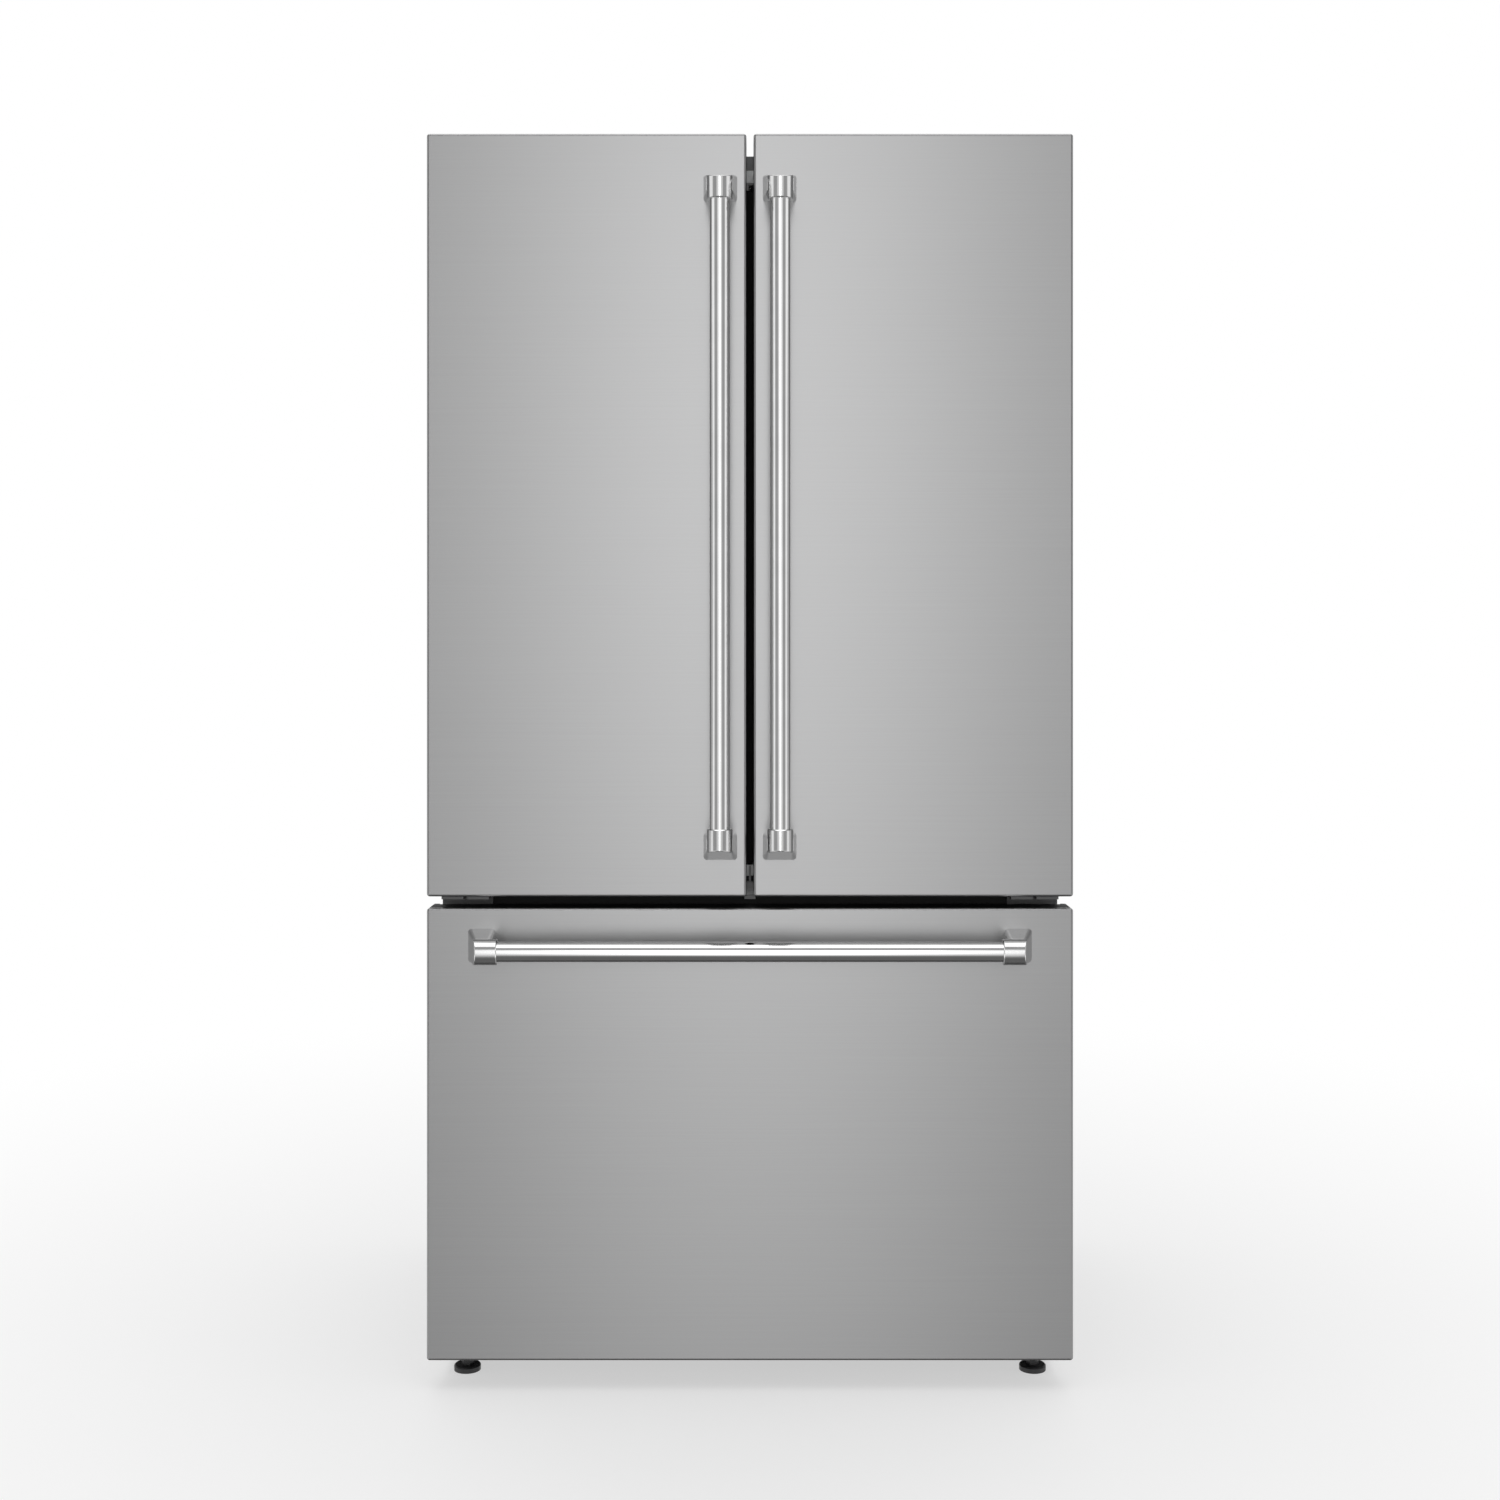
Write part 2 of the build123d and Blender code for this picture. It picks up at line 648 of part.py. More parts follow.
def mullion_bar():
    front, back = case_front, case_front + mullion_thickness
    bar = block(mullion_left, mullion_right, front, back, mullion_low + 14, mullion_high - 14)
    bar = round_edges(bar, Axis.Z, 3)
    bar += block(-1.2, 1.2, front - 1.4, front + 1, mullion_low + 14, mullion_high - 14)
    for z in mullion_hinge_heights:
        bar -= block(mullion_left - 12, mullion_left + 3, front - 1, back + 1, z - 16, z)
        knuckle = rod(5, mullion_axis_x, mullion_axis_y, z + clear, z + 30)
        knuckle += block(mullion_axis_x, mullion_left + 4, mullion_axis_y - 4, mullion_axis_y + 4, z + clear, z + 30)
        bar += knuckle
        bar -= rod(3 + running, mullion_axis_x, mullion_axis_y, z - 1, z + 24)
    return bar


def mullion_end_caps():
    caps = []
    for low, high in ((mullion_low, mullion_low + 14 - slip), (mullion_high - 14 + slip, mullion_high)):
        cap = block(mullion_left, mullion_right, case_front, case_front + mullion_thickness, low, high)
        caps.append(round_edges(cap, Axis.Z, 3))
    caps[1] += rod(3, mullion_pin_x, case_front + 9, mullion_high - 1, mullion_high + 8)
    return group(*caps)


# Freezer drawer

def drawer_liner():
    half = door_span / 2
    liner = foam_core(-half, half, drawer_bottom, drawer_top)
    pod = block(-liner_side + 16, liner_side - 16, door_back + 1, case_front + 8, freezer_floor + 14, freezer_ceiling - 14)
    pod = round_edges(pod, Axis.Y, 14)
    return liner + fillet(pod.faces().sort_by(Axis.Y)[-1].edges(), 5)


def drawer_gasket():
    half = door_span / 2 - gasket_hinge_inset
    low, high = freezer_floor - 22, freezer_ceiling + 22
    band = ring(-half, half, door_back + 2 + slip, case_front - clear, low, high, gasket_width)
    groove = ring(-half + 6, half - 6, door_back + 5, door_back + 8, low + 6, high - 6, gasket_width - 12)
    return band - groove


slide_back = case_front + 15 + slide_length


def channel(x_web, x_lips, y0, y1, z0, z1, thickness=1.5):
    """C section along Y: an upright web at x_web with two lips towards x_lips."""
    towards = 1 if x_lips > x_web else -1
    low, high = sorted((x_web, x_lips))
    shape = block(low, high, y0, y1, z0, z1)
    gap_low, gap_high = sorted((x_web + towards * thickness, x_lips + towards))
    return shape - block(gap_low, gap_high, y0 - 1, y1 + 1, z0 + thickness, z1 - thickness)


def slide_outer():
    rail = channel(liner_side - slip, liner_side - 13, case_front + 15, slide_back, slide_low, slide_high)
    return both_sides(rail)


def slide_middle():
    rail = channel(liner_side - 4, liner_side - 13, case_front + 15, slide_back, slide_low + 2.2, slide_high - 2.2)
    return both_sides(rail)


def slide_inner():
    """Drawer members, each with the hanger that carries the deep basket and the front."""
    front = case_front + 8 + slip
    rail = channel(liner_side - 14, liner_side - 6.5, case_front + 15, slide_back, slide_low + 4.6, slide_high - 4.6)
    rail += block(liner_side - 17, liner_side - 14, front, 90, 355, slide_high - 4.6)
    rail += block(liner_side - 24, liner_side - 14, front, 90, 355, 358)
    rail += block(liner_side - 44, liner_side - 14, front, front + 3, 355, slide_high - 4.6)
    return both_sides(rail)


def deep_basket():
    x = liner_side - 27
    bin_shape = tray(-x, x, case_front + 14, hump_front - 16, freezer_floor + 22, 361, 3, 24)
    rim = block(-x - 7, x + 7, case_front + 20, hump_front - 22, 358 + slip, 361)
    rim -= block(-x + 2, x - 2, case_front + 16, hump_front - 18, 357, 362)
    bin_shape += rim
    for column in range(-6, 7):
        hole_x = column * 50
        bin_shape -= block(hole_x - 16, hole_x + 16, case_front, hump_front, 330, 338)
    return bin_shape


def upper_basket():
    x = liner_side - 19
    bin_shape = tray(-x, x, case_front + 20, 236, 440, 560, 3, 24)
    for side in (-1, 1):
        low, high = sorted((side * (x - 1), side * (liner_side - 4)))
        runner = block(low, high, case_front + 44, 212, 429 + clear, 434)
        wall_low, wall_high = sorted((side * (x - 1), side * (x + 2)))
        bin_shape += runner + block(wall_low, wall_high, case_front + 44, 212, 429 + clear, 470)
    for column in range(-7, 8):
        hole_x = column * 46
        bin_shape -= block(hole_x - 15, hole_x + 15, case_front, 250, 525, 534)
    return bin_shape


# Handles

def handle_bracket():
    """Lower bracket of an upright handle, foot on the XY-plane's XZ wall, tube axis along +Z.

    Local frame: the door face is Y=0, the handle's end is Z=0, the tube axis is at Y=-standoff.
    """
    standoff = door_front - handle_y
    foot = Plane(origin=(0, 0, foot_long / 2), x_dir=(1, 0, 0), z_dir=(0, -1, 0))
    neck = Plane(origin=(0, -standoff, foot_slope + neck_long / 2), x_dir=(1, 0, 0), z_dir=(0, -1, 0))
    body = loft([foot * RectangleRounded(foot_wide, foot_long, 5), neck * RectangleRounded(neck_wide, neck_long, 5)])
    sleeve = rod(sleeve_radius, 0, -standoff, -5, foot_slope + sleeve_length)
    sleeve = chamfer(sleeve.faces().sort_by(Axis.Z)[-1].edges(), 1.2)
    lean = foot_slope / standoff
    reach = standoff + sleeve_radius + 20
    under = Plane.YZ * Polygon((5, -lean * 5), (-reach, lean * reach), (-reach, -60), (5, -60), align=None)
    sleeve -= extrude(under, 60, both=True)
    sleeve = fillet(sleeve.faces().sort_by(Axis.Z)[0].edges(), 1.2)
    bore_floor = foot_slope + 14
    bracket = body + sleeve
    return bracket - rod(tube_radius + running, 0, -standoff, bore_floor, foot_slope + sleeve_length + 1)


def tube_start():
    return foot_slope + 14 + slip


def door_handle_brackets(side):
    low = Pos(side * door_handle_x, door_front, door_handle_low) * handle_bracket()
    flipped = mirror(handle_bracket(), about=Plane.XY)
    high = Pos(side * door_handle_x, door_front, door_handle_high) * flipped
    return group(low, high)


def door_handle_tube(side):
    low = door_handle_low + tube_start()
    high = door_handle_high - tube_start()
    outside = rod(tube_radius, side * door_handle_x, handle_y, low, high)
    return outside - rod(tube_radius - 1.5, side * door_handle_x, handle_y, low - 1, high + 1)


def drawer_handle_brackets():
    upright = Rot(0, 90, 0) * handle_bracket()
    left = Pos(-drawer_handle_half, door_front, drawer_handle_z) * upright
    return both_sides(left)


def drawer_handle_tube():
    half = drawer_handle_half - tube_start()
    outside = rod_along_x(tube_radius, -half, half, handle_y, drawer_handle_z)
    return outside - rod_along_x(tube_radius - 1.5, -half - 1, half + 1, handle_y, drawer_handle_z)


# All the pieces

half_span = door_span / 2
half_gap = door_gap / 2
left_liner = door_liner_left()
pieces = {
    "case_wrapper": case_wrapper(),
    "back_panel": back_panel(),
    "base_frame": base_frame(),
    "fridge_liner": fridge_liner(),
    "freezer_liner": freezer_liner(),
    "foam_insulation": foam_insulation(),
    "centre_rail": centre_rail(),
    "top_hinges": top_hinges(),
    "hinge_covers": hinge_covers(),
    "centre_hinges": centre_hinges(),
    "mullion_guide": mullion_guide(),
    "base_grille": base_grille(),
    "front_foot_left": front_foot(-1),
    "front_foot_right": front_foot(1),
    "roller_brackets": roller_brackets(),
    "rear_roller_left": rear_roller(-1),
    "rear_roller_right": rear_roller(1),
    "compressor": compressor(),
    "condenser": condenser(),
    "condenser_fan": condenser_fan(),
    "machine_cover": machine_cover(),
    "evaporator": evaporator(),
    "evaporator_cover": evaporator_cover(),
    "air_duct": air_duct(),
    "ceiling_light": ceiling_light(),
    "control_panel": control_panel(),
    "shelf_tracks": shelf_tracks(),
    "shelf_frames": shelf_frames(),
    "shelf_glass": shelf_glass(),
    "drawer_covers": drawer_covers(),
    "crisper_left": crisper(-1),
    "crisper_right": crisper(1),
    "pantry_drawer": pantry_drawer(),
    "left_door_skin": front_skin(-half_span, -half_gap, door_bottom, door_top),
    "left_door_end_caps": end_caps(-half_span, -half_gap, door_bottom, door_top, -hinge_x),
    "left_door_liner": left_liner + mullion_lugs(),
    "left_door_gasket": door_gasket_left(),
    "left_door_bins": door_bins_left(),
    "left_handle_tube": door_handle_tube(-1),
    "left_handle_brackets": door_handle_brackets(-1),
    "right_door_skin": front_skin(half_gap, half_span, door_bottom, door_top),
    "right_door_end_caps": end_caps(half_gap, half_span, door_bottom, door_top, hinge_x),
    "right_door_liner": mirrored(left_liner),
    "right_door_gasket": mirrored(door_gasket_left()),
    "right_door_bins": mirrored(door_bins_left()),
    "right_handle_tube": door_handle_tube(1),
    "right_handle_brackets": door_handle_brackets(1),
    "mullion_bar": mullion_bar(),
    "mullion_end_caps": mullion_end_caps(),
    "drawer_skin": front_skin(-half_span, half_span, drawer_bottom, drawer_top),
    "drawer_end_caps": end_caps(-half_span, half_span, drawer_bottom, drawer_top),
    "drawer_liner": drawer_liner(),
    "drawer_gasket": drawer_gasket(),
    "drawer_handle_tube": drawer_handle_tube(),
    "drawer_handle_brackets": drawer_handle_brackets(),
    "slide_outer": slide_outer(),
    "slide_middle": slide_middle(),
    "slide_inner": slide_inner(),
    "deep_basket": deep_basket(),
    "upper_basket": upper_basket(),
}

os.makedirs("parts", exist_ok=True)
for name, piece in pieces.items():
    export_step(piece, f"parts/{name}.step")
print(len(pieces), "pieces written")
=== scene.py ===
import json
import math
import bmesh
import bpy
from mathutils import Matrix, Vector


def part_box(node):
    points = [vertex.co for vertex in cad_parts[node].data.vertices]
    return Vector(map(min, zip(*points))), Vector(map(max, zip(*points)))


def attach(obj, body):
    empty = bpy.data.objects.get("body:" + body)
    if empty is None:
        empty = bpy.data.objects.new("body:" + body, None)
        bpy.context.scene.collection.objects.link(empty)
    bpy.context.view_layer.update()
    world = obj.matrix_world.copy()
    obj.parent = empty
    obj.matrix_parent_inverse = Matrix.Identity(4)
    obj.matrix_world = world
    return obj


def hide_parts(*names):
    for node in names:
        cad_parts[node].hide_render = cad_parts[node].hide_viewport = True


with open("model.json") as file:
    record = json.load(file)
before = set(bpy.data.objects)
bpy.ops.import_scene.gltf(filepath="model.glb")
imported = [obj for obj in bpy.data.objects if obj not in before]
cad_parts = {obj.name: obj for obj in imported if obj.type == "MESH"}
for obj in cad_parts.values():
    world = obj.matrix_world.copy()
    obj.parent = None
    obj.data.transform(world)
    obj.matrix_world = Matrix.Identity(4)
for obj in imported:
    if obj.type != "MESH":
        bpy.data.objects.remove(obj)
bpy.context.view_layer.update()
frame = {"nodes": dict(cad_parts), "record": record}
nodes = frame["nodes"]
record = frame["record"]


def newMaterial(name, color, roughness=0.4, metallic=0.0):
    mat = bpy.data.materials.new(name)
    mat.use_nodes = True
    tree = mat.node_tree
    shader = tree.nodes["Principled BSDF"]
    shader.inputs["Base Color"].default_value = (*color, 1)
    shader.inputs["Roughness"].default_value = roughness
    shader.inputs["Metallic"].default_value = metallic
    mat.diffuse_color = (*color, 1)
    return mat, tree, shader


def stretched(tree, scale):
    # object coordinates in metres, stretched per axis
    place = tree.nodes.new("ShaderNodeTexCoord")
    mapping = tree.nodes.new("ShaderNodeMapping")
    mapping.inputs["Scale"].default_value = scale
    tree.links.new(place.outputs["Object"], mapping.inputs["Vector"])
    return mapping.outputs["Vector"]


def noise(tree, scale, detail=3.0):
    tex = tree.nodes.new("ShaderNodeTexNoise")
    tex.inputs["Scale"].default_value = 1.0
    tex.inputs["Detail"].default_value = detail
    tree.links.new(stretched(tree, scale), tex.inputs["Vector"])
    return tex.outputs["Fac"]


def spread(tree, fac, lowValue, highValue, start=0.3, end=0.7, kind="LINEAR"):
    # one range of values turned into another
    ramp = tree.nodes.new("ShaderNodeMapRange")
    ramp.interpolation_type = kind
    ramp.inputs["From Min"].default_value = start
    ramp.inputs["From Max"].default_value = end
    ramp.inputs["To Min"].default_value = lowValue
    ramp.inputs["To Max"].default_value = highValue
    tree.links.new(fac, ramp.inputs["Value"])
    return ramp.outputs["Result"]


def tint(tree, shader, fac, first, second):
    mix = tree.nodes.new("ShaderNodeMix")
    mix.data_type = "RGBA"
    mix.inputs["A"].default_value = (*first, 1)
    mix.inputs["B"].default_value = (*second, 1)
    tree.links.new(fac, mix.inputs["Factor"])
    tree.links.new(mix.outputs["Result"], shader.inputs["Base Color"])


def bump(tree, shader, fac, distance):
    node = tree.nodes.new("ShaderNodeBump")
    node.inputs["Strength"].default_value = 1.0
    node.inputs["Distance"].default_value = distance
    tree.links.new(fac, node.inputs["Height"])
    tree.links.new(node.outputs["Normal"], shader.inputs["Normal"])


def shades(color, amount):
    return tuple(c * (1 - amount) for c in color), tuple(min(1, c * (1 + amount)) for c in color)


brushedSteel = {"color": (0.352, 0.352, 0.354), "shade": 0.02, "roughness": (0.295, 0.315),
                "grain": (5, 5, 1100), "grainDepth": 0.000006, "anisotropy": 0.5}


def makeBrushedSteel(name, look):
    # grain runs across the front, so reflections smear upright
    mat, tree, shader = newMaterial(name, look["color"], metallic=1.0)
    grain = noise(tree, look["grain"])
    tint(tree, shader, spread(tree, grain, 0, 1), *shades(look["color"], look["shade"]))
    tree.links.new(spread(tree, grain, *look["roughness"]), shader.inputs["Roughness"])
    shader.inputs["Anisotropic"].default_value = look["anisotropy"]
    tangent = tree.nodes.new("ShaderNodeTangent")
    tangent.direction_type = "RADIAL"
    tangent.axis = "X"
    tree.links.new(tangent.outputs["Tangent"], shader.inputs["Tangent"])
    bump(tree, shader, grain, look["grainDepth"])
    return mat


def makeMetal(name, color, roughness, ripple=0.00002, cloudSize=30, shade=0.03):
    mat, tree, shader = newMaterial(name, color, metallic=1.0)
    cloud = noise(tree, (cloudSize,) * 3)
    tree.links.new(spread(tree, cloud, *roughness), shader.inputs["Roughness"])
    tint(tree, shader, spread(tree, cloud, 0, 1), *shades(color, shade))
    bump(tree, shader, noise(tree, (14, 14, 14), 2.0), ripple)
    return mat


def makeSpangled(name, color, roughness):
    # zinc-coated sheet with its crystal pattern
    mat, tree, shader = newMaterial(name, color, metallic=0.85)
    cells = tree.nodes.new("ShaderNodeTexVoronoi")
    cells.inputs["Scale"].default_value = 1.0
    tree.links.new(stretched(tree, (70, 70, 70)), cells.inputs["Vector"])
    tint(tree, shader, cells.outputs["Color"], *shades(color, 0.07))
    tree.links.new(spread(tree, cells.outputs["Distance"], *roughness, 0, 0.8), shader.inputs["Roughness"])
    bump(tree, shader, noise(tree, (400, 400, 400)), 0.00001)
    return mat


def makeMoulded(name, color, roughness, grainSize=900, grainDepth=0.00003, shade=0.04, coat=0.0, gloss=0.5):
    # moulded or painted surface with a fine skin
    mat, tree, shader = newMaterial(name, color)
    grain = noise(tree, (grainSize,) * 3, 2.0)
    tint(tree, shader, spread(tree, noise(tree, (5, 5, 5)), 0, 1), *shades(color, shade))
    tree.links.new(spread(tree, grain, roughness * 0.88, roughness * 1.12), shader.inputs["Roughness"])
    bump(tree, shader, grain, grainDepth)
    shader.inputs["Specular IOR Level"].default_value = gloss
    if coat:
        shader.inputs["Coat Weight"].default_value = coat
        shader.inputs["Coat Roughness"].default_value = 0.12
    return mat


def makeFoam(name, color):
    mat, tree, shader = newMaterial(name, color, 0.9)
    cells = tree.nodes.new("ShaderNodeTexVoronoi")
    cells.inputs["Scale"].default_value = 1.0
    tree.links.new(stretched(tree, (260, 260, 260)), cells.inputs["Vector"])
    tint(tree, shader, cells.outputs["Distance"], *shades(color, 0.12))
    bump(tree, shader, cells.outputs["Distance"], 0.0006)
    return mat


def makeClear(name, color, roughness, transmission, ior):
    mat, tree, shader = newMaterial(name, color, roughness)
    cloud = noise(tree, (7, 7, 7))
    tint(tree, shader, spread(tree, cloud, 0, 1), tuple(c * 0.985 for c in color), color)
    tree.links.new(spread(tree, cloud, roughness * 0.8, roughness * 1.2), shader.inputs["Roughness"])
    shader.inputs["Transmission Weight"].default_value = transmission
    shader.inputs["IOR"].default_value = ior
    return mat


def makeGlow(name, color, strength):
    # ribbed lens with lamps behind it
    mat, tree, shader = newMaterial(name, color, 0.35)
    ribs = tree.nodes.new("ShaderNodeTexWave")
    ribs.inputs["Scale"].default_value = 60
    tree.links.new(stretched(tree, (1, 1, 1)), ribs.inputs["Vector"])
    bump(tree, shader, ribs.outputs["Fac"], 0.0006)
    tint(tree, shader, ribs.outputs["Fac"], tuple(c * 0.94 for c in color), color)
    shader.inputs["Emission Color"].default_value = (1.0, 0.98, 0.94, 1)
    shader.inputs["Emission Strength"].default_value = strength
    return mat


finishes = {
    "stainless_skin": makeBrushedSteel("stainlessSkin", brushedSteel),
    "handle_tube": makeMetal("handleTubeSteel", (0.84, 0.84, 0.84), (0.07, 0.10)),
    "handle_bracket": makeMetal("handleBracketSteel", (0.76, 0.76, 0.76), (0.11, 0.15)),
    "case_paint": makeMoulded("casePaint", (0.085, 0.087, 0.09), 0.42, 650, 0.00008, coat=0.15),
    "end_cap_plastic": makeMoulded("endCapPlastic", (0.014, 0.014, 0.015), 0.6, gloss=0.3),
    "hinge_paint": makeMoulded("hingePaint", (0.11, 0.11, 0.112), 0.38, 700),
    "liner_plastic": makeMoulded("linerPlastic", (0.84, 0.85, 0.85), 0.30, 500, 0.00002, 0.012),
    "door_liner_plastic": makeMoulded("doorLinerPlastic", (0.84, 0.85, 0.85), 0.30, 500, 0.00002, 0.012),
    "foam": makeFoam("insulationFoam", (0.72, 0.60, 0.33)),
    "gasket_rubber": makeMoulded("gasketVinyl", (0.035, 0.035, 0.037), 0.55, 800),
    "mullion_plastic": makeMoulded("mullionPlastic", (0.010, 0.010, 0.010), 0.72, 900, gloss=0.2),
    "grey_plastic": makeMoulded("greyPlastic", (0.30, 0.30, 0.30), 0.45),
    "clear_plastic": makeClear("clearPlastic", (0.94, 0.96, 0.97), 0.06, 0.94, 1.49),
    "shelf_glass": makeClear("shelfGlass", (0.90, 0.97, 0.94), 0.02, 0.97, 1.52),
    "shelf_trim": makeMoulded("shelfTrim", (0.74, 0.75, 0.76), 0.3, 700, 0.00002, 0.015),
    "galvanised_sheet": makeSpangled("galvanisedSheet", (0.42, 0.43, 0.44), (0.34, 0.46)),
    "slide_steel": makeMetal("slideSteel", (0.55, 0.56, 0.57), (0.25, 0.38), 0.00001),
    # near-black paint: partly the parts' own black, partly painted shade for the gap between the doors and the
    # drawer
    "black_paint": makeMoulded("blackPaintAndGapShade", (0.014, 0.014, 0.014), 0.6, gloss=0.3),
    "black_plastic": makeMoulded("blackPlastic", (0.018, 0.018, 0.019), 0.5),
    "aluminium_fins": makeMetal("aluminiumFins", (0.78, 0.79, 0.80), (0.25, 0.4), 0.00001),
    "light_lens": makeGlow("lightLens", (0.92, 0.93, 0.92), 5.0),
    "panel_plastic": makeMoulded("panelPlastic", (0.04, 0.04, 0.044), 0.18, 900, 0.00001, coat=0.3),
    "foot_steel": makeMoulded("footSteel", (0.022, 0.022, 0.023), 0.42, 600),
    "white_basket": makeClear("basketPlastic", (0.90, 0.92, 0.94), 0.16, 0.6, 1.49),
}

for sub in record["subparts"]:
    node = nodes[sub["node"]]
    node.data.materials.clear()
    node.data.materials.append(finishes[sub["material_slot"]])
print("finishes given to every piece")


smoothAngle = math.radians(35)    # edges sharper than this stay crisp


def addPiece(name, bm, slot, body):
    mesh = bpy.data.meshes.new(name)
    bmesh.ops.recalc_face_normals(bm, faces=bm.faces)
    bm.to_mesh(mesh)
    bm.free()
    for face in mesh.polygons:
        face.use_smooth = True
    mesh.set_sharp_from_angle(angle=smoothAngle)
    piece = bpy.data.objects.new(name, mesh)
    bpy.context.scene.collection.objects.link(piece)
    mesh.materials.append(finishes[slot])
    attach(piece, body)
    return piece


# half of the seal's section: across the band and out from the door, as shares of its width and depth
sealSection = {
    "foot": ((0.0, 0.0), (0.0, 0.10)),
    "fold": ((0.24, 0.24), (0.08, 0.42), (0.24, 0.60)),
    "magnet": ((0.04, 0.68), (0.02, 0.80), (0.02, 0.96), (0.07, 1.0)),
    "band": 0.016,
}


def sweptFrame(low, high, section, topRadius=0.0):
    # a closed section led round an upright rectangle; its points are (inward, along Y)
    bm = bmesh.new()
    rings = []
    for right, top in ((0, 0), (1, 0), (1, 1), (0, 1)):
        radius = topRadius if top else 0.0
        centerX = high.x - radius if right else low.x + radius
        centerZ = high.z - radius if top else low.z + radius
        first = 0 if right else 90
        for turn in range(0, 91, 15) if radius else (45,):
            angle = math.radians(first + turn)
            ring = []
            for inward, y in section:
                if radius:
                    x = centerX + (radius - inward) * math.cos(angle)
                    z = centerZ + (radius - inward) * math.sin(angle)
                else:
                    x = centerX - inward if right else centerX + inward
                    z = centerZ - inward if top else centerZ + inward
                ring.append(bm.verts.new((x, y, z)))
            rings.append(ring)
    count = len(section)
    for index, ring in enumerate(rings):
        following = rings[(index + 1) % len(rings)]
        for k in range(count):
            nextK = (k + 1) % count
            bm.faces.new((ring[k], ring[nextK], following[nextK], following[k]))
    return bm


def makeSeal(name, node, body):
    # folded bellows with a magnet pocket, mitred at the corners
    low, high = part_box(node)
    half = [point for part in ("foot", "fold", "magnet") for point in sealSection[part]]
    outline = half + [(1 - u, v) for u, v in reversed(half)]
    section = [(u * sealSection["band"], low.y + v * (high.y - low.y)) for u, v in outline]
    seal = addPiece(name, sweptFrame(low, high, section), "gasket_rubber", body)
    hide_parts(node)


makeSeal("leftDoorSeal", "left_door_gasket", "left_door")
makeSeal("rightDoorSeal", "right_door_gasket", "right_door")
makeSeal("drawerSeal", "drawer_gasket", "freezer_drawer")
print("door and drawer seals built")

rearHem = {"width": 0.0019, "depth": 0.0018, "edge": 0.0004, "cornerRadius": 0.006}

# heights above the grille; the fold is in from the front face and along from the strip's edge
sill = {
    "bottom": 0.0006, "top": 0.0224, "setBack": 0.0003, "overlap": 0.001,
    "fold": ((0, 0.0012), (0.0004, 0.0003), (0.0012, 0), (0.0026, 0), (0.0026, 0.001), (0.0016, 0.0013),
             (0.0011, 0.0018)),
}


def makeRearHem():
    # the case sheet's turned-over edge round the back panel
    low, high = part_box("case_wrapper")
    w, d, e = rearHem["width"], rearHem["depth"], rearHem["edge"]
    y = high.y
    section = ((0, y), (0, y + d - e), (e, y + d), (w - e, y + d), (w, y + d - e), (w, y))
    addPiece("rearHem", sweptFrame(low, high, section, rearHem["cornerRadius"]), "case_paint", "cabinet")


def makeSill():
    # folded strip that closes the front under the freezer, its lips turned inwards
    low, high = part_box("base_grille")
    half = high.x + sill["overlap"]
    bottom, top = high.z + sill["bottom"], high.z + sill["top"]
    y = low.y + sill["setBack"]
    outline = [(depth, top - along) for depth, along in sill["fold"]]
    outline += [(depth, bottom + along) for depth, along in reversed(sill["fold"])]
    bm = bmesh.new()
    ends = [[bm.verts.new((x, y + depth, z)) for depth, z in outline] for x in (-half, half)]
    for k in range(len(outline)):
        nextK = (k + 1) % len(outline)
        bm.faces.new((ends[0][k], ends[0][nextK], ends[1][nextK], ends[1][k]))
    bm.faces.new(ends[0][::-1])
    bm.faces.new(ends[1])
    addPiece("frontSill", bm, "black_paint", "cabinet")


makeRearHem()
makeSill()
print("case edges closed")


def turnedProfile(bm, place, direction, profile, segments, hexagon):
    # a lathe shape; rings inside the hexagon's size get six flat sides
    turn = Vector(direction).to_track_quat("Z", "Y").to_matrix().to_4x4()
    pose = Matrix.Translation(Vector(place)) @ turn
    rings = []
    for radius, height in profile:
        ring = []
        for k in range(segments):
            angle = math.tau * k / segments
            reach = radius
            if radius <= hexagon:
                inSide = (angle % (math.pi / 3)) - math.pi / 6
                reach = radius * math.cos(math.pi / 6) / math.cos(inSide)
            ring.append(bm.verts.new(pose @ Vector((reach * math.cos(angle), reach * math.sin(angle), height))))
        rings.append(ring)
    for first, second in zip(rings, rings[1:]):
        for k in range(segments):
            nextK = (k + 1) % segments
            bm.faces.new((first[k], first[nextK], second[nextK], second[k]))
    bm.faces.new(rings[0][::-1])
    bm.faces.new(rings[-1])


screw = {"radius": 0.0045, "socket": 0.0022, "head": 0.0016, "flatHead": 0.0008, "segments": 24}
panelRows = {"seat": 0.0009, "inset": 0.02, "endInset": 0.03, "perSide": 7, "across": (-0.21, -0.07, 0.07, 0.21)}


def makeScrews(name, places, direction, head, slot, body):
    r, s = screw["radius"], screw["socket"]
    profile = ((r * 0.96, -0.0003), (r, head * 0.35), (r * 0.8, head * 0.85), (r * 0.6, head), (s, head),
               (s * 0.98, head * 0.3))
    bm = bmesh.new()
    for place in places:
        turnedProfile(bm, place, direction, profile, screw["segments"], s)
    addPiece(name, bm, slot, body)


def panelScrews():
    low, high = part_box("back_panel")
    face = high.y - panelRows["seat"]
    inset, endInset, count = panelRows["inset"], panelRows["endInset"], panelRows["perSide"]
    step = (high.z - low.z - 2 * endInset) / (count - 1)
    sides = [(x, face, low.z + endInset + k * step)
             for x in (low.x + inset, high.x - inset) for k in range(count)]
    ends = [(x, face, z) for x in panelRows["across"] for z in (low.z + inset, high.z - inset)]
    makeScrews("backPanelScrews", sides + ends, (0, 1, 0), screw["flatHead"], "galvanised_sheet", "cabinet")


